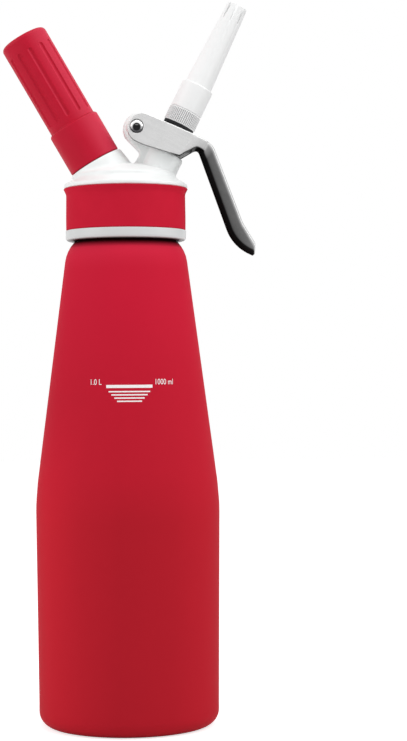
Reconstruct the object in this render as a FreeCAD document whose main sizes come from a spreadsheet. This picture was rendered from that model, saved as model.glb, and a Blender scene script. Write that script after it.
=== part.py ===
import FreeCAD, Part
import math
import os

import Sketcher
from FreeCAD import Placement, Rotation, Vector

# Whipped cream dispenser, millimetres. The origin is the centre of the bottle's foot, +Z is up,
# and the lever side is +X. Pieces of the dispensing valve are drawn along +Z of a tilted frame
# that starts on the bottle's axis, and so are the pieces around the gas charger.

SIZES = {
    # bottle
    "bottle_radius": 47.5, "foot_radius": 46.5, "foot_rounding": 8, "foot_height": 12,
    "foot_flat": 12.5, "foot_dent": 6, "dent_slope": 8, "dent_rounding": 6, "ring_rounding": 3,
    "foot_blend": 40, "belly_blend": 80, "cone_blend": 40, "bottle_wall": 1.5, "wall_shift": 1,
    "belly_height": 114,
    "belly_to_cone": 12, "cone_inset": 1, "shoulder_step": 6.468, "shoulder_drop": 5.2,
    "shoulder_rounding": 18, "neck_radius": 24.2, "neck_wall": 2.7, "neck_length": 18,
    "mouth_height": 270, "mouth_rounding": 0.6,
    # thread between bottle and head
    "neck_pitch": 4, "neck_turns": 1.5, "thread_drop": 11, "neck_ridge": 1.2, "thread_gap": 0.3,
    "ridge_foot": 2.2, "ridge_crest": 1.0, "ridge_root": 0.4,
    # head
    "gasket_thickness": 2, "skirt_wall": 2.9, "skirt_length": 18, "rim_overhang": 3.3,
    "rim_rise": 7.8, "rim_edge": 0.5, "rim_side": 1.6, "rim_rounding": 0.8, "dome_rise": 12.8,
    "dome_flat": 0.65, "plateau_inset": 5.75, "plateau_foot": 5, "plateau_rise": 6.9, "plateau_edge": 0.8,
    "spigot_length": 4, "spigot_gap": 0.5, "band_thickness": 2.3, "band_flare": 1.4,
    "band_flare_height": 2.5, "ring_thickness": 2.6, "ring_height": 5.4, "ring_lip": 1.7,
    "ring_inset": 1.4, "ring_edge": 0.5, "ring_foot_rounding": 1.8, "band_edge": 0.4,
    "band_blend": 2, "trim_gap": 0.02, "cut_over": 1,
    # dispensing valve
    "valve_tilt": 26.5, "valve_drop": 15.6, "boss_radius": 10, "boss_drop": 15.9,
    "boss_edge": 0.6, "boss_root": 15,
    "stem_radius": 3, "stem_bore": 1.7, "stem_reach": 6.9, "slide_gap": 0.06,
    "pocket_radius": 6, "pocket_floor": 33, "chamber_radius": 4, "chamber_height": 5,
    "guide_length": 8, "seat_thickness": 2, "seat_bore": 3.4, "poppet_radius": 4.8,
    "poppet_thickness": 1.8, "seal_thickness": 2.1, "seal_gap": 0.1, "stem_waist": 2.4,
    "waist_length": 1, "poppet_edge": 0.4, "collar_edge": 0.3, "port_radius": 1.2, "ports_rise": 3.4,
    "bush_thickness": 3,
    "washer_thickness": 0.8, "spring_radius": 4.6, "spring_wire": 0.9, "spring_coils": 5,
    "collar_radius": 7.5, "collar_thickness": 2.2, "collar_drop": 8, "oring_section": 0.5,
    "oring_drop": 1.8, "oring_spacing": 2.2, "groove_gap": 0.15,
    # adaptor and tip
    "nut_flats": 8, "nut_thickness": 1.2, "nut_well_radius": 6.6, "nut_well_gap": 1.5,
    "adaptor_foot": 62.6, "adaptor_radius": 8.7, "adaptor_height": 8, "adaptor_edge": 0.4,
    "knurl_depth": 0.35, "knurl_count": 58, "knurl_share": 0.75, "knurl_crest": 0.08,
    "knurl_margin": 0.5, "spigot_radius": 6.4, "spigot_rise": 7.6,
    "spigot_bore": 2.4, "disc_radius": 8.2, "disc_thickness": 1.2, "tip_seal_thickness": 0.9,
    "tip_seal_step": 1, "fit_gap": 0.1, "tip_collar_radius": 8.5, "tip_collar_height": 14.3,
    "tube_radius": 7.2, "tube_end_radius": 5.4, "tip_reach": 69, "nozzle_radius": 4.4,
    "nozzle_length": 24.5, "tip_entry_radius": 5.4, "tooth_count": 8, "slot_length": 9,
    "slot_width": 1.6, "slot_foot_width": 0.42, "tip_edge": 0.5, "tip_end_edge": 0.5,
    # ear, pivot and lever
    "pivot_across": -18.9, "pivot_drop": 11.6, "pin_radius": 2.5, "ear_radius": 6.7,
    "ear_half_width": 6, "ear_crest": 7.6, "ear_drop": 5.4, "ear_pad_radius": 5.2,
    "ear_root_rounding": 6.5, "ear_throat": 1, "ear_flat": 0.2, "ear_web_rounding": 3,
    "web_sink": 2, "ear_web_top": 6.2, "ear_web_step": 1.3, "ear_web_foot": 2.2,
    "pin_dome_radius": 3.3, "pin_dome_height": 1.4, "recess_gap": 0.2, "recess_depth": 0.8,
    "side_gap": 0.6, "shim_thickness": 0.5, "shim_radius": 4.6, "cheek_thickness": 2.4,
    "handle_half_width": 8, "stem_hole_gap": 2, "deck_gap": 1.6, "deck_slope": 0.8,
    "deck_back_gap": 4.5, "deck_front_gap": 1.5, "pad_rounding": 2.9, "pad_sink": 1,
    "handle_bevel": 1.8, "handle_rounding": 1.3, "pin_nut_radius": 3.4, "pin_nut_height": 1.3,
    "taper_start": 1, "taper_length": 5, "pad_side_sink": 0.2, "flank_margin": 1,
    # charger port, holder and charger
    "port_tilt": 30, "port_drop": 5.8, "port_top": 31, "port_top_radius": 14.6,
    "port_foot_radius": 16, "port_flare_height": 9.3, "port_root": 17, "port_edge": 0.8,
    "stub_radius": 9.9, "stub_pitch": 3, "stub_turns": 2.5, "stub_ridge": 0.8,
    "stub_thread_rise": 4.9, "stub_ridge_foot": 1.6, "stub_ridge_crest": 0.7,
    "stub_root": 0.3, "stub_edge": 0.6, "stub_bore_edge": 0.4, "thread_relief": 1,
    "passage_radius": 1.2, "passage_bend": 12, "valve_cup_radius": 3.2, "valve_cup_depth": 5,
    "duckbill_flange": 1.5, "duckbill_foot": 0.6, "duckbill_wall": 0.8,
    "charger_radius": 9.3, "charger_neck_radius": 4.4, "charger_neck": 9, "charger_length": 66,
    "charger_flare": 6, "charger_end_rounding": 8, "charger_rounding": 5,
    "charger_neck_rounding": 2, "cap_edge": 0.4, "charger_seat": 5.4, "charger_seal": 2,
    "charger_neck_gap": 0.5, "charger_wall": 1.2, "cap_thickness": 2, "pierced_radius": 1.1,
    "needle_radius": 0.9, "needle_bore": 0.35, "needle_reach": 2, "needle_point": 1.2,
    "needle_flange": 2.4, "flange_gap": 0.2,
    "holder_skirt_radius": 13.8, "holder_wall": 2.9, "holder_gap": 0.3,
    "holder_skirt_length": 23, "holder_end_wall": 2.98, "holder_crown": 1.3,
    "charger_gap": 0.35, "pad_thickness": 1.2, "pad_step": 1.2, "flute_count": 12,
    "holder_edge": 0.8, "skirt_step_rounding": 1.2,
    "crown_rounding": 2.4, "cavity_rounding": 1, "cavity_step": 1.5, "flute_flat": 0.01,
    "flute_width": 2.6, "flute_depth": 0.6, "flute_rise": 3, "flute_drop": 8.7,
}

# lever side outline from the pivot's centre: across the stem, along the stem, rounding
CHEEK = [("cheek_tail_top", -4.3, 7.9, 6.9), ("cheek_tail_foot", -4.3, -7.1, 6.9),
         ("cheek_belly", 6.9, -7.1, 20), ("cheek_corner", 26.2, -4, 1.5),
         ("cheek_throat", 32.1, 4.4, 3), ("knee_foot", 36.1, 4.6, 0), ("knee_top", 36.1, 9.9, 0)]
HANDLE = [("root_foot", 27.9, 2.8, 0), ("inner_knee", 33.7, 4.3, 2.5), ("inner_heel", 71.5, -32.1, 22),
          ("tip_low", 83.7, -31.9, 0), ("tip_high", 81.1, -26.3, 0), ("outer_heel", 71, -19.9, 15),
          ("outer_knee", 38.5, 10.2, 10), ("root_top", 27.9, 9.5, 0)]

# sizes that follow from others: what seats on, fits in or lines up with a piece starts from it
DERIVED = {
    "foot_ring": "foot_radius - foot_flat",
    "cone_start": "belly_height + belly_to_cone",
    "cone_radius": "bottle_radius - cone_inset",
    "neck_start": "mouth_height - neck_length",
    "neck_inside": "neck_radius - neck_wall",
    "shoulder_radius": "neck_radius + shoulder_step",
    "shoulder_height": "neck_start - shoulder_drop",
    "neck_thread_start": "mouth_height - thread_drop",
    "head_bore": "neck_radius + neck_ridge + thread_gap",
    "ceiling": "mouth_height + gasket_thickness",
    "spigot_outside": "neck_inside - spigot_gap",
    "spigot_foot": "ceiling - spigot_length",
    "skirt_radius": "head_bore + skirt_wall",
    "skirt_bottom": "mouth_height - skirt_length",
    "rim_radius": "skirt_radius + rim_overhang",
    "rim_height": "mouth_height + rim_rise",
    "plateau_radius": "rim_radius - plateau_inset",
    "plateau_slope": "2 * (dome_rise - plateau_rise) / plateau_radius",
    "band_radius": "skirt_radius + band_thickness",
    "ring_radius": "skirt_radius + ring_thickness",
    "ring_mouth": "skirt_radius - ring_inset",
    "ring_low": "skirt_bottom - ring_lip",
    "ring_top": "ring_low + ring_height",
    "valve_origin": "mouth_height - valve_drop",
    "boss_top": "adaptor_foot - boss_drop",
    "collar_top": "adaptor_foot - collar_drop",
    "collar_low": "collar_top - collar_thickness",
    "pivot_along": "adaptor_foot - pivot_drop",
    "stem_top": "adaptor_foot + stem_reach",
    "chamber_top": "pocket_floor - guide_length",
    "seat_plane": "chamber_top - chamber_height",
    "seat_low": "seat_plane - seat_thickness",
    "bore_end": "seat_plane + 2 * waist_length",
    "nut_low": "adaptor_foot - disc_thickness - nut_thickness",
    "nut_well_floor": "nut_low - nut_well_gap",
    "seal_top": "seat_low - seal_gap",
    "poppet_top": "seal_top - seal_thickness",
    "oring_high": "pocket_floor - oring_drop",
    "oring_low": "oring_high - oring_spacing",
    "bush_top": "pocket_floor + bush_thickness",
    "spring_foot": "bush_top + washer_thickness",
    "adaptor_top": "adaptor_foot + adaptor_height",
    "spigot_top": "adaptor_top + spigot_rise",
    "tip_foot": "adaptor_top + fit_gap",
    "tip_shelf": "spigot_top + tip_seal_thickness + fit_gap",
    "tip_end": "adaptor_foot + tip_reach",
    "nozzle_start": "tip_end - nozzle_length",
    "ear_pad_half_width": "boss_radius",
    "ear_back": "pivot_across - ear_radius",
    "ear_front": "pivot_across + ear_radius",
    "cheek_in": "ear_pad_half_width + side_gap",
    "cheek_out": "cheek_in + cheek_thickness",
    "pin_seat": "cheek_out - recess_depth + fit_gap",
    "pin_end": "cheek_out + fit_gap + pin_nut_height",
    "recess_radius": "pin_dome_radius + recess_gap",
    "stem_hole_radius": "stem_radius + stem_hole_gap",
    "port_origin": "mouth_height - port_drop",
    "port_flare_start": "port_top - port_flare_height",
    "port_start": "port_top - port_root",
    "charger_start": "port_top + charger_seat",
    "charger_shoulder": "charger_start + charger_neck",
    "charger_belly": "charger_shoulder + charger_flare",
    "charger_end": "charger_start + charger_length",
    "charger_inside": "charger_radius - charger_wall",
    "seal_seat": "charger_start - charger_seal",
    "stub_top": "charger_shoulder",
    "stub_bore": "charger_neck_radius + charger_neck_gap",
    "stub_thread_start": "port_top + stub_thread_rise",
    "needle_tip": "charger_start + needle_reach",
    "holder_low": "port_top + holder_gap",
    "holder_bore": "stub_radius + stub_ridge + thread_gap",
    "holder_cavity": "charger_radius + charger_gap",
    "holder_radius": "holder_cavity + holder_wall",
    "holder_skirt_end": "port_top + holder_skirt_length",
    "pad_low": "charger_end + trim_gap",
    "holder_inner_end": "pad_low + pad_thickness + fit_gap",
    "holder_end": "holder_inner_end + holder_end_wall",
    "flute_start": "holder_skirt_end + flute_rise",
    "flute_end": "holder_end - flute_drop",
    "cup_top": "spigot_foot + valve_cup_depth",
    "dome_rounding": "(plateau_radius / 2 - dome_flat) / tan(atan(plateau_slope) / 2)",
    "knurl_half": "3.1416 * adaptor_radius / knurl_count * knurl_share",
    "check_across": "0 - passage_bend * sin(port_tilt * 1 deg)",
    "check_top": "port_origin + passage_bend * cos(port_tilt * 1 deg)",
}

doc = FreeCAD.newDocument("cream_dispenser")
sheet = doc.addObject("Spreadsheet::Sheet", "sizes")


def fill_sheet():
    """Write every size once with an alias: plain numbers first, then those that follow from them."""
    rows = dict(SIZES)
    for name, across, along, rounding in CHEEK + HANDLE:
        rows[name + "_across"] = across
        rows[name + "_along"] = along
        if rounding:
            rows[name + "_rounding"] = rounding
    for alias, formula in DERIVED.items():
        rows[alias] = "=" + formula
    for row, (alias, content) in enumerate(rows.items(), 1):
        sheet.set(f"A{row}", alias)
        sheet.set(f"B{row}", str(content))
        sheet.setAlias(f"B{row}", alias)
    doc.recompute()


def expression(text):
    """Turn a text with bare aliases into an expression that reads the sheet."""
    words = []
    for word in str(text).replace("(", " ( ").replace(")", " ) ").split():
        known = word[0].isalpha() and word not in ("sin", "cos", "tan", "sqrt", "deg")
        words.append(f"sizes.{word}" if known else word)
    text = " ".join(words)
    for function in ("sin", "cos", "tan", "sqrt"):
        text = text.replace(f"{function} (", f"{function}(")
    return text


def number(owner, text):
    found = owner.evalExpression(expression(text))
    return float(getattr(found, "Value", found))


def new_body(name, tilt=None, start=None):
    """A body named after its piece, upright or in a frame that leans about Y."""
    body = doc.addObject("PartDesign::Body", name)
    body.Label = name
    if tilt:
        lean = Rotation(Vector(0, 1, 0), number(sheet, tilt))
        body.Placement = Placement(Vector(0, 0, number(sheet, start)), lean)
        body.setExpression("Placement.Base.z", expression(start))
        body.setExpression("Placement.Rotation.Angle", expression(tilt))
    return body


def valve_body(name):
    return new_body(name, "valve_tilt", "valve_origin")


def charger_body(name):
    return new_body(name, "0 - port_tilt", "port_origin")


def new_sketch(body, name, role="XZ_Plane", shift=("0", "0", "0"), turn="0"):
    """A sketch on one of the body's own origin planes, shifted in the plane and off it."""
    sketch = body.newObject("Sketcher::SketchObject", f"{body.Label}_{name}")
    plane = [item for item in body.Origin.OriginFeatures if item.Role == role][0]
    sketch.AttachmentSupport = [(plane, "")]
    sketch.MapMode = "FlatFace"
    for axis, text in zip("xyz", shift):
        if text != "0":
            sketch.setExpression(f"AttachmentOffset.Base.{axis}", expression(text))
    if turn != "0":
        sketch.AttachmentOffset = Placement(Vector(), Rotation(Vector(0, 0, 1), number(sheet, turn)))
        sketch.setExpression("AttachmentOffset.Rotation.Angle", expression(turn))
    return sketch


def bind(sketch, constraint, text):
    index = sketch.addConstraint(constraint)
    sketch.setExpression(f"Constraints[{index}]", expression(text))


def arc_of_corner(before, here, after, radius):
    """Centre, both tangent points and the sense of the arc that rounds a corner."""
    towards = (before - here).normalize()
    onwards = (after - here).normalize()
    half = towards.getAngle(onwards) / 2
    middle = (towards + onwards).normalize()
    centre = here + middle * (radius / math.sin(half))
    reach = radius / math.tan(half)
    left_turn = (towards.cross(onwards)).z < 0
    return centre, here + towards * reach, here + onwards * reach, left_turn


def outline(sketch, corners):
    """Closed outline of straight edges. A corner with a third value is rounded by a tangent arc."""
    places = [Vector(number(sketch, c[0]), number(sketch, c[1]), 0) for c in corners]
    radii = [number(sketch, c[2]) if len(c) > 2 else 0 for c in corners]
    count = len(corners)
    arcs = {}
    for i, radius in enumerate(radii):
        if radius:
            arcs[i] = arc_of_corner(places[i - 1], places[i], places[(i + 1) % count], radius)
    first = sketch.GeometryCount
    for i in range(count):
        end = (i + 1) % count
        start_point = arcs[i][2] if i in arcs else places[i]
        end_point = arcs[end][1] if end in arcs else places[end]
        sketch.addGeometry(Part.LineSegment(start_point, end_point), False)
    for i, corner in enumerate(corners):
        line_in = first + (i - 1) % count
        line_out = first + i
        if i not in arcs:
            sketch.addConstraint(Sketcher.Constraint("Coincident", line_in, 2, line_out, 1))
            bind(sketch, Sketcher.Constraint("DistanceX", line_out, 1, places[i].x), corner[0])
            bind(sketch, Sketcher.Constraint("DistanceY", line_out, 1, places[i].y), corner[1])
            continue
        centre, touch_in, touch_out, left_turn = arcs[i]
        angles = [math.atan2(p.y - centre.y, p.x - centre.x) for p in (touch_in, touch_out)]
        starts, ends = angles if left_turn else reversed(angles)
        circle = Part.Circle(centre, Vector(0, 0, 1), radii[i])
        arc = sketch.addGeometry(Part.ArcOfCircle(circle, starts, ends), False)
        tip = sketch.addGeometry(Part.Point(places[i]), True)
        arc_in, arc_out = (1, 2) if left_turn else (2, 1)
        sketch.addConstraint(Sketcher.Constraint("PointOnObject", tip, 1, line_in))
        sketch.addConstraint(Sketcher.Constraint("PointOnObject", tip, 1, line_out))
        bind(sketch, Sketcher.Constraint("DistanceX", tip, 1, places[i].x), corner[0])
        bind(sketch, Sketcher.Constraint("DistanceY", tip, 1, places[i].y), corner[1])
        sketch.addConstraint(Sketcher.Constraint("Tangent", line_in, 2, arc, arc_in))
        sketch.addConstraint(Sketcher.Constraint("Tangent", arc, arc_out, line_out, 1))
        bind(sketch, Sketcher.Constraint("Radius", arc, radii[i]), corner[2])
    return sketch


def circle(sketch, across, along, radius):
    centre = Vector(number(sketch, across), number(sketch, along), 0)
    index = sketch.addGeometry(Part.Circle(centre, Vector(0, 0, 1), number(sketch, radius)), False)
    bind(sketch, Sketcher.Constraint("Radius", index, number(sketch, radius)), radius)
    bind(sketch, Sketcher.Constraint("DistanceX", index, 3, centre.x), across)
    bind(sketch, Sketcher.Constraint("DistanceY", index, 3, centre.y), along)
    return sketch


def turned(body, name, corners, cut=False, shift=("0", "0", "0"), turn="0"):
    """Turn an outline of (radius, height) corners about the sketch's own vertical axis."""
    sketch = outline(new_sketch(body, name + "_profile", "XZ_Plane", shift, turn), corners)
    kind = "Groove" if cut else "Revolution"
    feature = body.newObject(f"PartDesign::{kind}", f"{body.Label}_{name}")
    feature.Profile = sketch
    feature.ReferenceAxis = (sketch, ["V_Axis"])
    feature.Angle = 360
    return feature


def ring(body, name, inner, outer, low, high, **options):
    corners = [(inner, low), (outer, low), (outer, high), (inner, high)]
    return turned(body, name, corners, **options)


def padded(body, name, sketch, width):
    """Pad both ways from the sketch's plane, to a full width."""
    feature = body.newObject("PartDesign::Pad", f"{body.Label}_{name}")
    feature.Profile = sketch
    feature.Midplane = True
    feature.setExpression("Length", expression(width))
    return feature


def pocketed(body, name, sketch, width=None, one_way=False, outward=False):
    """Cut both ways from the sketch's plane, or one way from a plane off the middle."""
    feature = body.newObject("PartDesign::Pocket", f"{body.Label}_{name}")
    feature.Profile = sketch
    feature.Midplane = not one_way
    feature.Reversed = outward
    if width:
        feature.setExpression("Length", expression(width))
    else:
        feature.Type = 1
    return feature


def around(body, name, feature, count):
    """Repeat one feature evenly around the body's own vertical axis."""
    pattern = body.newObject("PartDesign::PolarPattern", f"{body.Label}_{name}")
    pattern.Originals = [feature]
    axis = [item for item in body.Origin.OriginFeatures if item.Role == "Z_Axis"][0]
    pattern.Axis = (axis, [""])
    pattern.Angle = 360
    pattern.setExpression("Occurrences", expression(count))
    body.Tip = pattern
    return pattern


def helix_ridge(body, name, root, crest, centre, foot, top, pitch, turns):
    """A screw thread's ridge, from its root radius to its crest radius."""
    corners = [(root, f"{centre} - {foot} / 2"), (crest, f"{centre} - {top} / 2"),
               (crest, f"{centre} + {top} / 2"), (root, f"{centre} + {foot} / 2")]
    sketch = outline(new_sketch(body, name + "_section"), corners)
    ridge = body.newObject("PartDesign::AdditiveHelix", f"{body.Label}_{name}")
    ridge.Profile = sketch
    ridge.ReferenceAxis = (sketch, ["V_Axis"])
    ridge.Mode = 1
    ridge.setExpression("Pitch", expression(pitch))
    ridge.setExpression("Turns", expression(turns))
    return ridge


# ---- bottle and its seal ----

def make_bottle():
    body = new_body("bottle")
    cone_inside = "cone_radius - bottle_wall"
    turned(body, "shell", [
        ("0", "foot_dent"), ("foot_ring - dent_slope", "foot_dent", "dent_rounding"),
        ("foot_ring", "0", "ring_rounding"), ("foot_radius", "0", "foot_rounding"),
        ("foot_radius", "foot_height", "foot_blend"), ("bottle_radius", "belly_height", "belly_blend"),
        ("cone_radius", "cone_start", "cone_blend"),
        ("shoulder_radius", "shoulder_height", "shoulder_rounding"),
        ("neck_radius", "neck_start"), ("neck_radius", "mouth_height", "mouth_rounding"),
        ("neck_inside", "mouth_height", "mouth_rounding"), ("neck_inside", "neck_start - wall_shift"),
        ("shoulder_radius - bottle_wall", "shoulder_height - bottle_wall",
         "shoulder_rounding - bottle_wall"),
        (cone_inside, "cone_start"), ("bottle_radius - bottle_wall", "belly_height"),
        ("foot_radius - bottle_wall", "foot_height"),
        ("foot_radius - bottle_wall", "bottle_wall", "foot_rounding - bottle_wall"),
        ("foot_ring + wall_shift", "bottle_wall", "ring_rounding"),
        ("foot_ring - dent_slope + wall_shift", "foot_dent + bottle_wall", "dent_rounding"),
        ("0", "foot_dent + bottle_wall")])
    doc.recompute()
    helix_ridge(body, "thread", "neck_radius - ridge_root", "neck_radius + neck_ridge",
                "neck_thread_start", "ridge_foot", "ridge_crest", "neck_pitch", "neck_turns")
    return body


def make_head_gasket():
    body = new_body("head_gasket")
    ring(body, "ring", "neck_inside", "neck_radius + neck_ridge", "mouth_height", "ceiling")
    return body


# ---- head and the pieces on its skirt ----

VALVE_FRAME = {"shift": ("0", "valve_origin", "0"), "turn": "0 - valve_tilt"}
PORT_FRAME = {"shift": ("0", "port_origin", "0"), "turn": "port_tilt"}


def make_head_body():
    body = new_body("head_body")
    shelf = "rim_height - rim_edge"
    turned(body, "dome", [
        ("0", "skirt_bottom"), ("skirt_radius", "skirt_bottom"), ("skirt_radius", shelf),
        ("rim_radius", shelf), ("rim_radius", "rim_height + rim_side", "rim_rounding"),
        ("plateau_radius", "rim_height + plateau_foot"),
        ("plateau_radius", "rim_height + plateau_rise", "plateau_edge"),
        ("plateau_radius / 2", "rim_height + dome_rise", "dome_rounding"), ("0", "rim_height + dome_rise")])
    turned(body, "port", [
        ("0", "port_start"), ("port_foot_radius", "port_start"), ("port_foot_radius", "port_flare_start"),
        ("port_top_radius", "port_top", "port_edge"), ("0", "port_top")], **PORT_FRAME)
    turned(body, "boss", [
        ("0", "pocket_floor - boss_root"), ("boss_radius", "pocket_floor - boss_root"),
        ("boss_radius", "boss_top", "boss_edge"), ("0", "boss_top")], **VALVE_FRAME)
    web = "0 - boss_radius / 2"
    web_foot = "pocket_floor - web_sink"
    ear = outline(new_sketch(body, "ear_side", **VALVE_FRAME), [
        (web, web_foot), (web, "boss_top - boss_edge"), ("ear_front", "boss_top - boss_edge", "ear_throat"),
        ("ear_front", "pivot_along + ear_crest", "ear_radius - ear_flat"),
        ("ear_back", "pivot_along + ear_crest", "ear_radius - ear_flat"),
        ("ear_back", "pivot_along - ear_drop", "ear_root_rounding"),
        ("0 - boss_radius - ear_web_step", "boss_top - ear_web_top", "ear_web_rounding"),
        ("0 - boss_radius - ear_web_foot", web_foot)])
    padded(body, "ear", ear, "2 * ear_half_width")
    pads = new_sketch(body, "ear_pads_side", **VALVE_FRAME)
    circle(pads, "pivot_across", "pivot_along", "ear_pad_radius")
    padded(body, "ear_pads", pads, "2 * ear_pad_half_width")
    under = "skirt_bottom - cut_over"
    turned(body, "cavity", [
        ("spigot_outside", under), ("head_bore", under), ("head_bore", "ceiling"),
        ("spigot_outside", "ceiling")], cut=True)
    ring(body, "under_spigot", "0", "spigot_outside + fit_gap", under, "spigot_foot", cut=True)
    turned(body, "stem_bore", [
        ("0", "0"), ("pocket_radius", "0"), ("pocket_radius", "seat_plane"),
        ("chamber_radius", "seat_plane"), ("chamber_radius", "chamber_top"),
        ("stem_radius + slide_gap", "chamber_top"), ("stem_radius + slide_gap", "pocket_floor"),
        ("pocket_radius", "pocket_floor"), ("pocket_radius", "boss_top + cut_over"),
        ("0", "boss_top + cut_over")], cut=True, **VALVE_FRAME)
    ring(body, "gas_passage", "0", "passage_radius", "passage_bend", "port_top + cut_over", cut=True,
         **PORT_FRAME)
    turned(body, "check_cup", [
        ("0", "spigot_foot - cut_over"), ("valve_cup_radius", "spigot_foot - cut_over"),
        ("valve_cup_radius", "cup_top"), ("passage_radius", "cup_top"), ("passage_radius", "check_top"),
        ("0", "check_top")], cut=True, shift=("check_across", "0", "0"))
    side = new_sketch(body, "pin_hole_side", **VALVE_FRAME)
    pocketed(body, "pin_hole", circle(side, "pivot_across", "pivot_along", "pin_radius"))
    doc.recompute()
    helix_ridge(body, "thread", "head_bore + ridge_root", "neck_radius + thread_gap",
                "neck_thread_start - neck_pitch / 2 + thread_gap", "ridge_foot", "ridge_crest",
                "neck_pitch", "neck_turns")
    return body


def make_grip_band():
    body = new_body("grip_band")
    top = "rim_height - rim_edge"
    turned(body, "band", [
        ("skirt_radius + trim_gap", "ring_top"), ("band_radius", "ring_top", "band_edge"),
        ("band_radius", f"{top} - band_flare_height", "band_blend"), ("band_radius + band_flare", top),
        ("skirt_radius + trim_gap", top)])
    return body


def make_skirt_ring():
    body = new_body("skirt_ring")
    turned(body, "ring", [
        ("ring_mouth", "ring_low", "ring_edge"), ("ring_radius", "ring_low", "ring_foot_rounding"),
        ("ring_radius", "ring_top", "ring_edge"), ("skirt_radius + trim_gap", "ring_top"),
        ("skirt_radius + trim_gap", "skirt_bottom"), ("ring_mouth", "skirt_bottom")])
    return body


def make_check_valve():
    """Duckbill of rubber with a flange, in the cup under the gas passage."""
    body = new_body("check_valve")
    bill_foot = "cup_top - valve_cup_depth + duckbill_foot"
    flange_foot = "cup_top - duckbill_flange"
    turned(body, "duckbill", [
        ("passage_radius / 2", "cup_top"), ("passage_radius / 2", bill_foot), ("passage_radius", bill_foot),
        ("passage_radius + duckbill_wall", flange_foot), ("valve_cup_radius", flange_foot),
        ("valve_cup_radius", "cup_top")], shift=("check_across", "0", "0"))
    return body


# ---- dispensing valve, from the seat up ----

def make_valve_seat():
    body = valve_body("valve_seat")
    ring(body, "ring", "seat_bore", "pocket_radius", "seat_low", "seat_plane")
    return body


def make_stem_bush():
    body = valve_body("stem_bush")
    ring(body, "bush", "stem_radius + slide_gap", "pocket_radius", "pocket_floor", "bush_top")
    return body


def make_spring_washer():
    body = valve_body("spring_washer")
    ring(body, "washer", "stem_radius + 2 * slide_gap", "pocket_radius - fit_gap", "bush_top", "spring_foot")
    return body


def make_valve_spring():
    """Helical spring between the washer and the collar, its ends half a wire inside the stack."""
    body = valve_body("valve_spring")
    wire = new_sketch(body, "wire")
    circle(wire, "spring_radius", "spring_foot + spring_wire / 2", "spring_wire / 2")
    coil = body.newObject("PartDesign::AdditiveHelix", "valve_spring_coil")
    coil.Profile = wire
    coil.ReferenceAxis = (wire, ["V_Axis"])
    coil.Mode = 2
    coil.setExpression("Turns", expression("spring_coils"))
    coil.setExpression("Height", expression("collar_low - spring_foot - spring_wire"))
    return body


def make_valve_stem():
    body = valve_body("valve_stem")
    groove = "stem_radius - 2 * oring_section"
    corners = [
        ("0", "poppet_top - poppet_thickness"),
        ("poppet_radius", "poppet_top - poppet_thickness", "poppet_edge"),
        ("poppet_radius", "poppet_top"), ("stem_waist", "poppet_top"),
        ("stem_waist", "seat_plane + waist_length"), ("stem_radius", "bore_end")]
    for middle in ("oring_low", "oring_high"):
        low = f"{middle} - oring_section - groove_gap"
        high = f"{middle} + oring_section + groove_gap"
        corners += [("stem_radius", low), (groove, low), (groove, high), ("stem_radius", high)]
    corners += [("stem_radius", "stem_top", "poppet_edge"), ("stem_bore", "stem_top"),
                ("stem_bore", "bore_end"), ("0", "bore_end")]
    turned(body, "tube", corners)
    ports = circle(new_sketch(body, "ports_side"), "0", "seat_plane + ports_rise", "port_radius")
    pocketed(body, "ports", ports)
    return body


def make_poppet_seal():
    body = valve_body("poppet_seal")
    ring(body, "disc", "stem_waist", "poppet_radius", "poppet_top", "seal_top")
    return body


def make_stem_rings():
    """Two O-rings of one size. Each is a separate solid in the same node."""
    rings = []
    for name, middle in (("low", "oring_low"), ("high", "oring_high")):
        torus = doc.addObject("Part::Torus", f"oring_{name}")
        torus.setExpression("Radius1", expression("stem_radius - oring_section + trim_gap"))
        torus.setExpression("Radius2", expression("oring_section"))
        torus.setExpression("Placement.Base.z", expression(middle))
        rings.append(torus)
    pair = doc.addObject("Part::Compound", "stem_rings")
    pair.Label = "stem_rings"
    pair.Links = rings
    pair.Placement = Placement(Vector(), Rotation(Vector(0, 1, 0), number(sheet, "valve_tilt")))
    pair.setExpression("Placement.Base.z", expression("valve_origin"))
    pair.setExpression("Placement.Rotation.Angle", expression("valve_tilt"))
    return pair


def make_thrust_collar():
    body = valve_body("thrust_collar")
    turned(body, "collar", [
        ("stem_radius", "collar_low"), ("collar_radius", "collar_low", "collar_edge"),
        ("collar_radius", "collar_top", "collar_edge"), ("stem_radius", "collar_top")])
    return body


# ---- adaptor and tip ----

def make_jam_nut():
    body = valve_body("jam_nut")
    sketch = new_sketch(body, "hexagon", "XY_Plane", ("0", "0", "nut_low"))
    reach = "nut_flats / sqrt ( 3 )"
    corners = [(f"{reach} * cos ( {turn} deg )", f"{reach} * sin ( {turn} deg )")
               for turn in range(0, 360, 60)]
    outline(sketch, corners)
    circle(sketch, "0", "0", "stem_radius")
    nut = body.newObject("PartDesign::Pad", "jam_nut_plate")
    nut.Profile = sketch
    nut.setExpression("Length", expression("nut_thickness"))
    return body


def make_adaptor_washer():
    body = valve_body("adaptor_washer")
    ring(body, "disc", "stem_radius + fit_gap", "disc_radius", "adaptor_foot - disc_thickness",
         "adaptor_foot")
    return body


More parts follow.
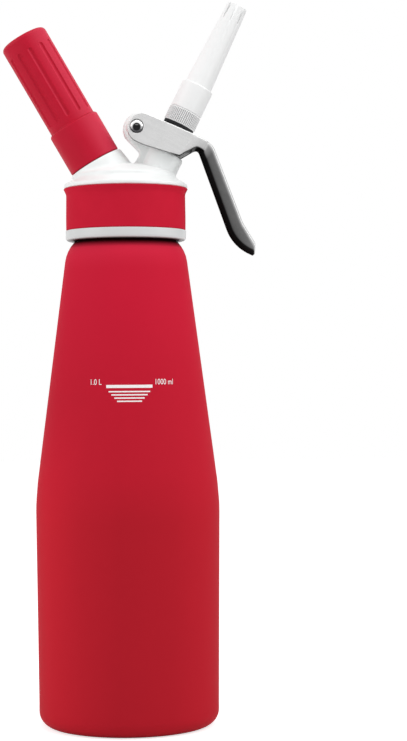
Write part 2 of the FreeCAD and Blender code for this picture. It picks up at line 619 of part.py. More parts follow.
def make_nozzle_adaptor():
    body = valve_body("nozzle_adaptor")
    hub_radius = "adaptor_radius - knurl_depth"
    turned(body, "hub", [
        ("stem_radius", "adaptor_foot"), (hub_radius, "adaptor_foot", "adaptor_edge"),
        (hub_radius, "adaptor_top", "adaptor_edge"), ("spigot_radius", "adaptor_top"),
        ("spigot_radius", "spigot_top", "adaptor_edge"), ("spigot_bore", "spigot_top"),
        ("spigot_bore", "stem_top"), ("stem_radius", "stem_top")])
    doc.recompute()
    sketch = new_sketch(body, "knurl_section", "XY_Plane", ("0", "0", "adaptor_foot + knurl_margin"))
    root = "adaptor_radius - 2 * knurl_depth"
    outline(sketch, [(root, "0 - knurl_half"), ("adaptor_radius", "0 - knurl_crest"),
                     ("adaptor_radius", "knurl_crest"), (root, "knurl_half")])
    rib = body.newObject("PartDesign::Pad", "nozzle_adaptor_rib")
    rib.Profile = sketch
    rib.setExpression("Length", expression("adaptor_height - 2 * knurl_margin"))
    doc.recompute()
    around(body, "knurl", rib, "knurl_count")
    return body


def make_tip_seal():
    body = valve_body("tip_seal")
    ring(body, "ring", "spigot_bore + tip_seal_step", "spigot_radius", "spigot_top",
         "spigot_top + tip_seal_thickness")
    return body


def make_decorator_tip():
    body = valve_body("decorator_tip")
    socket = "spigot_radius + fit_gap"
    collar_end = "tip_foot + tip_collar_height"
    turned(body, "shell", [
        (socket, "tip_foot"), ("tip_collar_radius", "tip_foot", "tip_edge"),
        ("tip_collar_radius", collar_end, "tip_edge"), ("tube_radius", collar_end),
        ("tube_end_radius", "tip_end", "tip_end_edge"), ("nozzle_radius", "tip_end"),
        ("nozzle_radius", "nozzle_start"), ("tip_entry_radius", "tip_shelf"), (socket, "tip_shelf")])
    doc.recompute()
    slot = outline(new_sketch(body, "slot_side"), [
        ("0 - slot_width / 2", "tip_end + cut_over"), ("0 - slot_foot_width / 2", "tip_end - slot_length"),
        ("slot_foot_width / 2", "tip_end - slot_length"), ("slot_width / 2", "tip_end + cut_over")])
    cut = pocketed(body, "slot", slot, "tube_radius", one_way=True)
    doc.recompute()
    around(body, "teeth", cut, "tooth_count")
    return body


# ---- pivot and lever ----

def make_pivot_pin():
    """Pin with a domed head in the near cheek's recess and a plain end behind the far cheek."""
    body = valve_body("pivot_pin")
    sketch = outline(new_sketch(body, "profile", "YZ_Plane", ("0", "pivot_along", "pivot_across")), [
        ("0 - pin_seat - pin_dome_height", "0"),
        ("0 - pin_seat - pin_dome_height", "pin_dome_radius", "pin_dome_height - fit_gap"),
        ("0 - pin_seat", "pin_dome_radius"), ("0 - pin_seat", "pin_radius"),
        ("pin_end", "pin_radius"), ("pin_end", "0")])
    feature = body.newObject("PartDesign::Revolution", "pivot_pin_turned")
    feature.Profile = sketch
    feature.ReferenceAxis = (sketch, ["H_Axis"])
    feature.Angle = 360
    return body


def pin_disc(name, start, inward, radius, width):
    """A ring on the pivot's axis, padded along it from its own plane."""
    body = valve_body(name)
    sketch = new_sketch(body, "disc", "XZ_Plane", ("0", "0", start))
    circle(sketch, "pivot_across", "pivot_along", radius)
    circle(sketch, "pivot_across", "pivot_along", "pin_radius")
    plate = body.newObject("PartDesign::Pad", f"{name}_plate")
    plate.Profile = sketch
    plate.Reversed = inward
    plate.setExpression("Length", expression(width))
    return body


def make_pivot_nut():
    return pin_disc("pivot_nut", "0 - cheek_out - fit_gap", True, "pin_nut_radius", "pin_nut_height")


def make_pivot_washers():
    """A washer on each side of the ear, as two solids of one node."""
    near = pin_disc("pivot_washer_near", "ear_pad_half_width", False, "shim_radius", "shim_thickness")
    far = pin_disc("pivot_washer_far", "0 - ear_pad_half_width", True, "shim_radius", "shim_thickness")
    pair = doc.addObject("Part::Compound", "pivot_washers")
    pair.Label = "pivot_washers"
    pair.Links = [near, far]
    return pair


def lever_corners(points):
    corners = []
    for name, reach, rise, rounding in points:
        corner = (f"pivot_across + {name}_across", f"pivot_along + {name}_along")
        corners.append(corner + (name + "_rounding",) if rounding else corner)
    return corners


def flank_edges(shape, half_width, low_side):
    """Names of the handle's long edges on both flanks, along its bottle side or its outer side."""
    nearest = number(sheet, "pivot_across + inner_knee_across + flank_margin")
    farthest = number(sheet, "pivot_across + tip_high_across - flank_margin")
    reach = "pivot_across + inner_heel_across + pivot_along + inner_heel_along"
    divide = number(sheet, f"{reach} + handle_bevel")
    names = []
    for index, edge in enumerate(shape.Edges, 1):
        middle = edge.valueAt((edge.FirstParameter + edge.LastParameter) / 2)
        on_flank = edge.BoundBox.YLength < 0.01 and abs(abs(middle.y) - half_width) < 0.01
        inner = middle.x + middle.z < divide
        if on_flank and nearest < middle.x < farthest and inner == low_side:
            names.append(f"Edge{index}")
    return names


def dressed(body, name, kind, before, low_side, size):
    """Bevel or round the handle's long edges."""
    doc.recompute()
    feature = body.newObject(f"PartDesign::{kind}", f"{body.Label}_{name}")
    feature.Base = (before, flank_edges(before.Shape, number(sheet, "handle_half_width"), low_side))
    feature.setExpression("Size" if kind == "Chamfer" else "Radius", expression(size))
    return feature


def make_lever():
    body = valve_body("lever")
    grip = outline(new_sketch(body, "handle_side"), lever_corners(HANDLE))
    handle = padded(body, "handle", grip, "2 * handle_half_width")
    bevel = dressed(body, "bevel", "Chamfer", handle, True, "handle_bevel")
    dressed(body, "rounding", "Fillet", bevel, False, "handle_rounding")
    cheeks = outline(new_sketch(body, "cheek_side"), lever_corners(CHEEK))
    padded(body, "cheeks", cheeks, "2 * cheek_out")
    back = "pivot_across + cheek_tail_foot_across - cut_over"
    low = "pivot_along + cheek_tail_foot_along - cut_over"
    high = "pivot_along + cheek_tail_top_along + cut_over"
    front = "boss_radius + deck_front_gap"
    deck = "collar_top + deck_gap"
    inside = outline(new_sketch(body, "inside_side"), [
        (back, low), (front, low), (front, f"{deck} + deck_slope"), ("ear_front + deck_back_gap", deck),
        ("ear_front + deck_back_gap", high), (back, high)])
    pocketed(body, "inside", inside, "2 * cheek_in")
    corner = "pivot_across + cheek_corner_across"
    knee = "pivot_across + knee_top_across"
    for side, sign in (("near", "0 - "), ("far", "")):
        taper = outline(new_sketch(body, f"{side}_taper_plan", "XY_Plane"), [
            (corner, f"{sign}( cheek_out + cut_over )"), (f"{corner} + taper_start", f"{sign}cheek_out"),
            (f"{knee} + taper_start", f"{sign}handle_half_width"),
            (f"{knee} + taper_length", f"{sign}handle_half_width"),
            (f"{knee} + taper_length", f"{sign}( cheek_out + cut_over )")])
        pocketed(body, f"{side}_taper", taper)
    pad_side = "pad_rounding + fit_gap"
    pads = outline(new_sketch(body, "pads_side"), [
        (f"0 - ( {pad_side} )", f"{deck} + pad_sink"),
        (f"0 - ( {pad_side} )", "collar_top + fit_gap", "pad_rounding"),
        (pad_side, "collar_top + fit_gap", "pad_rounding"), (pad_side, f"{deck} + pad_sink")])
    padded(body, "pads", pads, "2 * cheek_in + 2 * pad_side_sink")
    hole = circle(new_sketch(body, "stem_hole_plan", "XY_Plane"), "0", "0", "stem_hole_radius")
    pocketed(body, "stem_hole", hole)
    over = "pivot_along + knee_top_along + cut_over"
    ring(body, "nut_well", "0", "nut_well_radius", "nut_well_floor", over, cut=True)
    hole = circle(new_sketch(body, "pin_hole_side"), "pivot_across", "pivot_along", "pin_radius + slide_gap")
    pocketed(body, "pin_hole", hole)
    recess = new_sketch(body, "recess_side", "XZ_Plane", ("0", "0", "cheek_out - recess_depth"))
    circle(recess, "pivot_across", "pivot_along", "recess_radius")
    pocketed(body, "recess", recess, one_way=True, outward=True)
    return body


# ---- charger side ----

def make_port_stub():
    body = charger_body("port_stub")
    inside = "needle_flange + trim_gap"
    turned(body, "stub", [
        (inside, "port_top"), ("stub_radius", "port_top"), ("stub_radius", "stub_top", "stub_edge"),
        ("stub_bore", "stub_top", "stub_bore_edge"), ("stub_bore", "seal_seat"), (inside, "seal_seat")])
    doc.recompute()
    helix_ridge(body, "thread", "stub_radius - stub_root", "stub_radius + stub_ridge",
                "stub_thread_start", "stub_ridge_foot", "stub_ridge_crest", "stub_pitch", "stub_turns")
    return body


def make_piercing_pin():
    body = charger_body("piercing_pin")
    turned(body, "needle", [
        ("needle_bore", "port_top"), ("needle_flange", "port_top"),
        ("needle_flange", "seal_seat - flange_gap"), ("needle_radius", "seal_seat - flange_gap"),
        ("needle_radius", "needle_tip - needle_point"), ("needle_bore + fit_gap", "needle_tip"),
        ("needle_bore", "needle_tip")])
    return body


def make_charger_seal():
    body = charger_body("charger_seal")
    ring(body, "ring", "needle_radius + fit_gap", "stub_bore - fit_gap", "seal_seat", "charger_start")
    return body


def make_charger():
    body = charger_body("charger")
    cap = "charger_start + cap_thickness"
    bottom = "charger_end - charger_wall"
    neck_inside = "charger_neck_radius - charger_wall"
    turned(body, "shell", [
        ("pierced_radius", "charger_start"), ("charger_neck_radius", "charger_start", "cap_edge"),
        ("charger_neck_radius", "charger_shoulder", "charger_neck_rounding"),
        ("charger_radius", "charger_belly", "charger_rounding"),
        ("charger_radius", "charger_end", "charger_end_rounding"), ("0", "charger_end"), ("0", bottom),
        ("charger_inside", bottom, "charger_end_rounding - charger_wall"),
        ("charger_inside", "charger_belly + charger_wall / 2", "charger_rounding - charger_wall"),
        (neck_inside, "charger_shoulder + charger_wall / 2"), (neck_inside, cap), ("pierced_radius", cap)])
    return body


def make_charger_holder():
    body = charger_body("charger_holder")
    thread_top = "stub_top + thread_relief"
    turned(body, "shell", [
        ("holder_bore", "holder_low"), ("holder_skirt_radius", "holder_low", "holder_edge"),
        ("holder_skirt_radius", "holder_skirt_end", "skirt_step_rounding"),
        ("holder_radius", "holder_skirt_end"),
        ("holder_radius", "holder_end - holder_crown", "crown_rounding"), ("0", "holder_end"),
        ("0", "holder_inner_end"), ("holder_cavity", "holder_inner_end", "cavity_rounding"),
        ("holder_cavity", f"{thread_top} + cavity_step"), ("holder_bore", thread_top)])
    doc.recompute()
    side = "flute_width / 2"
    wide = f"{side} + flute_flat"
    flute = outline(new_sketch(body, "flute_front", "XZ_Plane", ("0", "0", "holder_radius - flute_depth")), [
        (f"0 - ( {wide} )", "flute_start", side), (wide, "flute_start", side),
        (wide, "flute_end", side), (f"0 - ( {wide} )", "flute_end", side)])
    cut = pocketed(body, "flute", flute, one_way=True, outward=True)
    doc.recompute()
    around(body, "flutes", cut, "flute_count")
    doc.recompute()
    helix_ridge(body, "thread", "holder_bore + stub_root", "stub_radius + thread_gap",
                "stub_thread_start - stub_pitch / 2 + thread_gap / 2", "stub_ridge_foot",
                "stub_ridge_crest", "stub_pitch", "stub_turns - 1")
    return body


def make_holder_pad():
    body = charger_body("holder_pad")
    ring(body, "disc", "0", "charger_radius - pad_step", "pad_low", "pad_low + pad_thickness")
    return body


MAKERS = [make_bottle, make_head_gasket, make_head_body, make_grip_band, make_skirt_ring, make_check_valve,
          make_valve_seat, make_stem_bush, make_spring_washer, make_valve_spring, make_valve_stem,
          make_poppet_seal, make_stem_rings, make_thrust_collar, make_jam_nut, make_adaptor_washer,
          make_nozzle_adaptor, make_tip_seal, make_decorator_tip, make_pivot_pin, make_pivot_nut,
          make_pivot_washers, make_lever, make_port_stub, make_piercing_pin, make_charger_seal,
          make_charger, make_charger_holder, make_holder_pad]


def main():
    fill_sheet()
    pieces = []
    for maker in MAKERS:
        pieces.append(maker())
        doc.recompute()
        shape = pieces[-1].Shape
        print(f"{pieces[-1].Label}: {shape.Volume:.1f} mm3, {len(shape.Solids)} solid(s)")
    for item in doc.Objects:
        if "Invalid" in item.State or "Error" in item.State:
            raise RuntimeError(f"{item.Label} failed: {item.State}")
    for piece in pieces:
        if piece.Shape.isNull() or not piece.Shape.isValid():
            raise RuntimeError(f"{piece.Label} has no valid shape")
    os.makedirs("parts", exist_ok=True)
    for piece in pieces:
        piece.Shape.exportStep(f"parts/{piece.Label}.step")


main()
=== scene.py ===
import math

import bmesh
import bpy
from mathutils import Matrix, Vector


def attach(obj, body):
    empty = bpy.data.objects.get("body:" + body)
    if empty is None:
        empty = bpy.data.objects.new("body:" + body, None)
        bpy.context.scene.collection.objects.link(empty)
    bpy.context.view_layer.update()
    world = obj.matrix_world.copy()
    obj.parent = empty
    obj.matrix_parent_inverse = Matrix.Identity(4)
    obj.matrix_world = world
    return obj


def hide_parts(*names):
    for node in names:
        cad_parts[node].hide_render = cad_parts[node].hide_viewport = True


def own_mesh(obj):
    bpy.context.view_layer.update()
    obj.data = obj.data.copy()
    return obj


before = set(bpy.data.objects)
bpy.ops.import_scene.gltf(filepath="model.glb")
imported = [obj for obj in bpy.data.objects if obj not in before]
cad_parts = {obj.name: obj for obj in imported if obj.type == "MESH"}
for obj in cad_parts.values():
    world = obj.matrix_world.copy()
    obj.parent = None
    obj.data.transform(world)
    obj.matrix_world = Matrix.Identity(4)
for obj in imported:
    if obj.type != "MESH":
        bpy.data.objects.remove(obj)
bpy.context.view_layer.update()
print("frame loaded:", len(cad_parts), "nodes")

mm = 0.001
upright = Matrix.Identity(4)
# the valve and the charger side lean away from the bottle's axis: (height, lean)
lean = {"valve": (254.4, 26.5), "port": (264.2, -30)}
# the valve's own directions: across to the side that leans down, and down its axis
valveAcross = (0.895, 0, -0.446)
valveDown = (-0.446, 0, -0.895)


def leaningPlace(side):
    height, angle = lean[side]
    return Matrix.Translation((0, 0, height * mm)) @ Matrix.Rotation(math.radians(angle), 4, "Y")


valvePlace = leaningPlace("valve")
portPlace = leaningPlace("port")


# shader maths

class Wire:
    # a socket of a node tree, with the sums that the finishes use

    def __init__(self, tree, socket):
        self.tree = tree
        self.socket = socket

    def maths(self, operation, first, second=0.0):
        node = self.tree.nodes.new("ShaderNodeMath")
        node.operation = operation
        for place, term in zip(node.inputs, (first, second)):
            if isinstance(term, Wire):
                self.tree.links.new(term.socket, place)
            else:
                place.default_value = term
        return Wire(self.tree, node.outputs[0])

    def __add__(self, other):
        return self.maths("ADD", self, other)

    __radd__ = __add__

    def __sub__(self, other):
        return self.maths("SUBTRACT", self, other)

    def __rsub__(self, other):
        return self.maths("SUBTRACT", other, self)

    def __mul__(self, other):
        return self.maths("MULTIPLY", self, other)

    __rmul__ = __mul__

    def __gt__(self, other):
        return self.maths("GREATER_THAN", self, other)

    def clamped(self):
        return self.maths("MAXIMUM", self.maths("MINIMUM", self, 1.0), 0.0)

    def stretched(self, low, high):
        # 0 below low and 1 above high
        return ((self - low) * (1.0 / (high - low))).clamped()


class Finish:
    # one material: its tree, its shader and short ways to add nodes

    def __init__(self, name, **constants):
        self.material = bpy.data.materials.new(name)
        self.material.use_nodes = True
        self.tree = self.material.node_tree
        self.shader = self.tree.nodes["Principled BSDF"]
        for socket, setting in constants.items():
            self.shader.inputs[socket.replace("_", " ")].default_value = setting
        self.coordinates = self.node("ShaderNodeTexCoord")
        self.place = self.coordinates.outputs["Object"]

    def node(self, kind, settings=None, **wires):
        made = self.tree.nodes.new(kind)
        for setting, choice in (settings or {}).items():
            if setting == "stops":
                ramp = made.color_ramp
                while len(ramp.elements) < len(choice):
                    ramp.elements.new(0.5)
                for stop, (position, tone) in zip(ramp.elements, choice):
                    stop.position = position
                    stop.color = (*tone, 1) if isinstance(tone, tuple) else (tone, tone, tone, 1)
            else:
                setattr(made, setting, choice)
        for label, wire in wires.items():
            self.join(wire, made.inputs[label.replace("_", " ")])
        return made

    def join(self, wire, socket):
        if isinstance(wire, Wire):
            wire = wire.socket
        if isinstance(wire, bpy.types.NodeSocket):
            self.tree.links.new(wire, socket)
        else:
            socket.default_value = wire

    def axes(self, vector=None):
        parts = self.node("ShaderNodeSeparateXYZ", Vector=vector or self.place)
        return [Wire(self.tree, parts.outputs[axis]) for axis in "XYZ"]

    def placed(self, turn=(0, 0, 0), size=(1, 1, 1), at=(0, 0, 0), vector=None):
        made = self.node("ShaderNodeMapping", {"vector_type": "POINT"}, Vector=vector or self.place,
                         Location=at, Rotation=turn, Scale=size)
        return made.outputs[0]

    def inFrame(self, place):
        # object coordinates as seen from a leaning frame
        back = place.inverted()
        return self.placed(back.to_euler(), at=back.to_translation())

    def facing(self, direction):
        # how far the surface faces a direction, from -1 to 1
        made = self.node("ShaderNodeVectorMath", {"operation": "DOT_PRODUCT"})
        self.join(self.coordinates.outputs["Normal"], made.inputs[0])
        made.inputs[1].default_value = Vector(direction).normalized()
        return Wire(self.tree, made.outputs["Value"])

    def ramp(self, wire, stops):
        return self.node("ShaderNodeValToRGB", {"stops": stops}, Fac=wire).outputs[0]

    def noise(self, scale, detail=3.0, roughness=0.5, vector=None):
        made = self.node("ShaderNodeTexNoise", Vector=vector or self.place, Scale=scale, Detail=detail,
                         Roughness=roughness)
        return Wire(self.tree, made.outputs["Fac"])

    def between(self, mask, low, high):
        # colour that runs from low to high as the mask runs from 0 to 1
        made = self.node("ShaderNodeMix", {"data_type": "RGBA"})
        factor, first, second = made.inputs[0], made.inputs[6], made.inputs[7]
        self.join(mask, factor)
        for socket, tone in ((first, low), (second, high)):
            self.join((*tone, 1) if isinstance(tone, tuple) else tone, socket)
        return made.outputs[2]

    def dimmed(self, tone, amount):
        # a colour times a number that varies
        made = self.node("ShaderNodeVectorMath", {"operation": "SCALE"}, Scale=amount)
        self.join(tone, made.inputs[0])
        return made.outputs[0]

    def colour(self, tone):
        self.join(tone, self.shader.inputs["Base Color"])

    def rough(self, wire):
        self.join(wire, self.shader.inputs["Roughness"])

    def metal(self, wire):
        self.join(wire, self.shader.inputs["Metallic"])

    def relief(self, height, depth, strength=1.0):
        bump = self.node("ShaderNodeBump", Height=height, Distance=depth, Strength=strength)
        self.join(bump.outputs[0], self.shader.inputs["Normal"])


# finishes

# the coat's red up the bottle, paler up the taper as painted light; painted side light and where it fades;
# painted shadow in the gap under the ring
coatLook = {"tonesPaintedPalerUp": [(0.05, (0.452, 0.0125, 0.0235)), (0.39, (0.470, 0.0125, 0.0245)),
                      (0.50, (0.525, 0.0125, 0.0290)), (0.66, (0.565, 0.0125, 0.0330)),
                      (0.81, (0.612, 0.0128, 0.0390)), (0.87, (0.618, 0.0135, 0.0400)),
                      (0.917, (0.690, 0.0220, 0.0580))],
            "paintedSideLight": [(0.0, 0.90), (0.06, 0.97), (0.25, 0.84), (0.45, 0.76), (0.75, 0.78), (0.93, 0.84),
                      (1.0, 0.80)],
            "fade": [(0.40, 1.0), (0.62, 0.0)], "calm": 0.03,
            "paintedSideGain": 1.31, "top": 270.0 * mm, "rough": 0.58, "grain": 5200.0, "bare": (0.78, 0.78, 0.79),
            "gapShadowLow": 246.2 * mm, "gapShadowHigh": 249.3 * mm, "gapShadowDepth": 0.97, "neckHeight": 252.0 * mm}


def makeCoat():
    # soft-touch coat, paler up the taper and towards the left and right low down as painted light, and dark
    # in the gap under the ring as painted shadow, over bare aluminium: the coat stops at the neck
    look = coatLook
    finish = Finish("softTouchRed", Specular_IOR_Level=0.04)
    z = finish.axes()[2]
    cloud = finish.noise(34.0, 4.0, 0.55)
    grain = finish.noise(look["grain"], 2.0)
    # painted side light: paler towards the left and right low on the bottle, fading out higher up, where it
    # is a little dimmer
    paintedSideLight = Wire(finish.tree, finish.ramp(finish.facing((1, 0, 0)) * 0.5 + 0.5, look["paintedSideLight"]))
    fade = Wire(finish.tree, finish.ramp(z * (1 / look["top"]), look["fade"]))
    shading = 1 + (look["paintedSideGain"] * paintedSideLight - 1) * fade
    light = (0.96 + 0.06 * cloud) * shading * (1 - look["calm"] * (1 - fade))
    # painted shadow in the gap under the ring
    light = light * (1 - look["gapShadowDepth"] * z.stretched(look["gapShadowLow"], look["gapShadowHigh"]))
    # the red itself grows paler up the taper: painted light
    coat = finish.dimmed(finish.ramp(z * (1 / look["top"]), look["tonesPaintedPalerUp"]), light)
    neck = z > look["neckHeight"]
    finish.colour(finish.between(neck, coat, look["bare"]))
    finish.metal(neck)
    finish.rough(look["rough"] + 0.08 * cloud + 0.06 * grain - 0.22 * neck)
    finish.relief(grain, 0.00003, 0.3)
    return finish.material


# where the painted light on the red comes from, and over what range of facing it shows
redLook = {"litFrom": (0.9, -0.1, 0.45), "litLow": 0.15, "litHigh": 0.9}


def makeRed(name, tone, deep, rough, grain, depth, lit=None, **constants):
    # moulded red: slight cloudiness and a fine grain, with painted light that makes it paler on the side that
    # faces the lever
    finish = Finish(name, **constants)
    cloud = finish.noise(70.0, 3.0, 0.5)
    fine = finish.noise(grain, 2.0)
    red = finish.between(cloud.stretched(0.35, 0.65), deep, tone)
    if lit:
        # painted light on the side that faces the lever
        side = finish.facing(redLook["litFrom"]).stretched(redLook["litLow"], redLook["litHigh"])
        red = finish.between(side, red, lit)
    finish.colour(red)
    finish.rough(rough + 0.1 * cloud + 0.06 * fine)
    finish.relief(fine, depth, 0.35)
    return finish.material


def makeWhite(name, tone, rough, flowTurn=0.0, shadeBelow=None, shadow=0.0):
    # moulded white with faint flow lines and hairline scuffs, with painted shadow underneath where that is a
    # gap, and painted shade that makes it greyer on the side that leans down
    finish = Finish(name, IOR=1.49, Specular_IOR_Level=0.4)
    flow = finish.noise(70.0, 3.0, 0.5, finish.placed((0, flowTurn, 0), (1, 1, 0.3)))
    shade = tuple(0.96 * part for part in tone)
    white = finish.between(flow.stretched(0.3, 0.7), shade, tone)
    if shadeBelow:
        # painted shadow underneath
        white = finish.between(finish.facing((0, 0, -1)).stretched(0.55, 0.95), white, shadeBelow)
    if shadow:
        # painted shade on the side that leans down
        white = finish.dimmed(white, 1 - shadow * finish.facing(valveAcross).stretched(0.35, 0.95))
    finish.colour(white)
    scuff = finish.noise(260.0, 3.0, 0.6, finish.placed((0, flowTurn, 0), (1, 1, 0.12)))
    finish.rough(rough + 0.10 * scuff.stretched(0.4, 0.8))
    finish.relief(scuff, 0.000006, 0.1)
    return finish.material


def makeSteel(name, tone, rough, lines, turn=0.0, squeeze=0.05):
    # turned or brushed metal: fine lines one way, broad patches of wear
    finish = Finish(name, Metallic=1.0)
    brush = finish.noise(lines, 3.0, 0.6, finish.placed((0, turn, 0), (squeeze, 1, 1)))
    wear = finish.noise(90.0, 4.0, 0.6)
    dark = tuple(0.86 * part for part in tone)
    finish.colour(finish.between(wear.stretched(0.3, 0.7), dark, tone))
    finish.rough(rough + 0.12 * wear.stretched(0.3, 0.8) + 0.1 * brush)
    finish.relief(brush, 0.00002, 0.4)
    return finish.material


# painted reflections and shade on the lever: the cheeks' tones and the handle's grey by facing, painted
# highlights towards the handle's outer edge and rim, and metal only where it is not painted black
leverLook = {"kneeFrom": -267.5 * mm, "kneeTo": -250.0 * mm, "taper": 0.25,
             "noseFrom": 22.5 * mm, "noseTo": 26.5 * mm, "up": (0.3, 0, 1), "out": (0.935, 0, 0.354),
             "grain": 2400.0, "streak": 700.0,
             "tail": [(0.10, 0.24), (0.33, 0.30), (0.45, 0.61), (0.62, 0.61), (0.85, 0.84)],
             "nose": [(0.24, 0.006), (0.34, 0.02), (0.42, 0.40), (0.47, 0.61), (0.62, 0.61), (0.85, 0.84)],
             "innerEdge": 142.5 * mm, "outerEdge": 149.0 * mm, "edgeGain": (0.75, 0.5),
             "rimFrom": 147.3 * mm, "rimTo": 148.4 * mm, "rimGain": 0.2,
             "grip": [(0.20, 0.010), (0.36, 0.018), (0.45, 0.085), (0.50, 0.125), (0.53, 0.26),
                      (0.60, 0.34), (0.80, 0.36), (0.95, 0.34)],
             "sideways": [(0.54, 1.0), (0.66, 0.0)],
             "bare": [(0.26, 0.0), (0.42, 1.0)]}


def makeLeverMetal():
    # blasted casting with painted reflections and shade: cheeks painted bright above and dark below, a handle
    # painted darker grey, and painted black where it faces the bottle
    look = leverLook
    finish = Finish("leverMetal", Specular_IOR_Level=0.0)
    x, y, z = finish.axes()
    handle = (x - z).stretched(look["kneeFrom"], look["kneeTo"])
    nose = x.stretched(look["noseFrom"], look["noseTo"])
    up = finish.facing(look["up"]) * 0.5 + 0.5
    out = finish.facing(look["out"]) * 0.5 + 0.5
    # the cheeks: painted reflection, bright where they face up and dark below, black below the nose
    cheek = finish.between(nose, finish.ramp(up, look["tail"]), finish.ramp(up, look["nose"]))
    # painted shade on the side that leans down
    cheek = finish.dimmed(cheek, 1 - look["taper"] * finish.facing(valveAcross).clamped())
    grain = finish.noise(look["grain"], 3.0, 0.6)
    along = finish.placed(size=(0.08, 1, 1), vector=finish.inFrame(valvePlace))
    streak = finish.noise(look["streak"], 3.0, 0.6, along)
    wear = finish.noise(160.0, 4.0, 0.6)
    speckle = 0.84 + 0.14 * grain.stretched(0.3, 0.7) + 0.07 * streak.stretched(0.3, 0.7)
    # painted highlight towards the handle's outer edge and along its rim on the sideways faces
    base, gain = look["edgeGain"]
    across = look["out"][0] * x + look["out"][2] * z
    shading = base + gain * across.stretched(look["innerEdge"], look["outerEdge"])
    rim = across.stretched(look["rimFrom"], look["rimTo"])
    shading = shading + look["rimGain"] * rim * Wire(finish.tree, finish.ramp(out, look["sideways"]))
    # the handle's grey is a painted reflection, painted black where it faces the bottle
    grip = finish.dimmed(finish.ramp(out, look["grip"]), shading)
    tone = finish.between(handle, cheek, grip)
    finish.colour(finish.dimmed(tone, speckle + 0.05 * wear.stretched(0.3, 0.7)))
    # not metal where it is painted black as shade, so it stays black
    cheekMetalWhereLit = finish.between(nose, (1.0, 1.0, 1.0), finish.ramp(up, look["bare"]))
    finish.metal(finish.between(handle, cheekMetalWhereLit, finish.ramp(out, look["bare"])))
    finish.rough(0.36 + 0.1 * grain + 0.1 * wear.stretched(0.3, 0.8))
    finish.relief(grain + 0.6 * streak, 0.00004, 0.45)
    return finish.material


# the pin's painted reflections: a painted dark end with a painted glint, and a rim painted dark below and
# bright above
pinLook = {"middle": (5.85 * mm, 308.15 * mm), "reach": 4.0 * mm, "glint": 1.05 * mm, "glintReach": 1.5 * mm,
           "disc": [(0.46, 1.0), (0.56, 0.0)], "shine": [(0.20, 0.30), (0.75, 0.0)],
           "low": -1.5 * mm, "high": 1.4 * mm,
           "rimBelow": (0.07, 0.07, 0.075), "rimAbove": (0.96, 0.96, 0.96),
           "paintedDarkReflection": (0.010, 0.010, 0.011), "spot": (0.9, 0.9, 0.9)}


def makePinSteel():
    # polished dome with painted reflections: bright above and dark below, around a painted dark end with a
    # painted glint in it
    look = pinLook
    finish = Finish("pinPolished", Specular_IOR_Level=0.1)
    across, height = look["middle"]
    flat = finish.placed(size=(1, 0, 1), at=(-across, 0, -height))
    z = finish.axes(flat)[2]
    length = finish.node("ShaderNodeVectorMath", {"operation": "LENGTH"}, Vector=flat)
    disc = finish.ramp(Wire(finish.tree, length.outputs["Value"]) * (1 / look["reach"]), look["disc"])
    glint = finish.placed(size=(0.9, 1, 3.0), at=(0, 0, -3.0 * look["glint"]), vector=flat)
    spread = finish.node("ShaderNodeVectorMath", {"operation": "LENGTH"}, Vector=glint)
    shine = finish.ramp(Wire(finish.tree, spread.outputs["Value"]) * (1 / look["glintReach"]), look["shine"])
    # painted reflection on the rim: dark below, bright above
    rim = finish.between(z.stretched(look["low"], look["high"]), look["rimBelow"], look["rimAbove"])
    dark = finish.between(shine, look["paintedDarkReflection"], look["spot"])
    wear = finish.noise(900.0, 3.0, 0.6)
    finish.colour(finish.between(disc, rim, dark))
    # the painted dark end is not metal, so it stays dark
    finish.metal(finish.between(disc, (1.0, 1.0, 1.0), (0.0, 0.0, 0.0)))
    finish.rough(0.16 + 0.08 * wear)
    finish.relief(wear, 0.000005, 0.2)
    return finish.material


# painted shade in the grooves, deeper on the side that leans down, and painted shadow beneath
knurlLook = {"white": (0.93, 0.93, 0.93), "grooveShade": (0.36, 0.36, 0.37), "deepGrooveShade": (0.10, 0.10, 0.10),
             "gap": (0.012, 0.012, 0.013)}


def makeKnurled():
    # white moulding whose knurl has painted shade in its grooves, more so on the side that leans down, with
    # painted shadow beneath it
    look = knurlLook
    finish = Finish("knurlWhite", Specular_IOR_Level=0.35)
    stored = finish.node("ShaderNodeAttribute", {"attribute_name": "groove"})
    groove = Wire(finish.tree, stored.outputs["Fac"])
    flow = finish.noise(400.0, 3.0)
    # the grooves, with a little noise: where the painted shade goes and the surface is rougher
    grooveMask = (groove * (0.8 + 0.3 * flow)).clamped()
    side = finish.facing(valveAcross).stretched(-0.1, 0.8)
    grooveShade = finish.between(side, look["grooveShade"], look["deepGrooveShade"])
    white = finish.between(grooveMask, look["white"], grooveShade)
    # painted shadow on the faces beneath
    shadeBelow = finish.facing(valveDown).stretched(0.4, 0.8)
    finish.colour(finish.between(shadeBelow, white, look["gap"]))
    finish.rough(0.36 + 0.2 * grooveMask + 0.06 * flow)
    finish.relief(finish.noise(1800.0, 2.0), 0.00001, 0.3)
    return finish.material


def makeRubber(name, tone):
    # matt rubber with bloom and a moulded grain
    finish = Finish(name, Specular_IOR_Level=0.12)
    bloom = finish.noise(120.0, 4.0, 0.6)
    pale = tuple(part + 0.02 for part in tone)
    finish.colour(finish.between(bloom.stretched(0.4, 0.75), tone, pale))
    finish.rough(0.6 + 0.2 * bloom)
    finish.relief(finish.noise(2600.0, 2.0), 0.00004, 0.4)
    return finish.material


def makeInk():
    # screen-printed white, thin enough to show the coat a little
    finish = Finish("printWhite")
    fade = finish.noise(1500.0, 3.0, 0.6)
    finish.colour(finish.between(fade.stretched(0.45, 0.8), (0.95, 0.92, 0.92), (0.86, 0.78, 0.79)))
    finish.rough(0.5 + 0.1 * fade)
    return finish.material


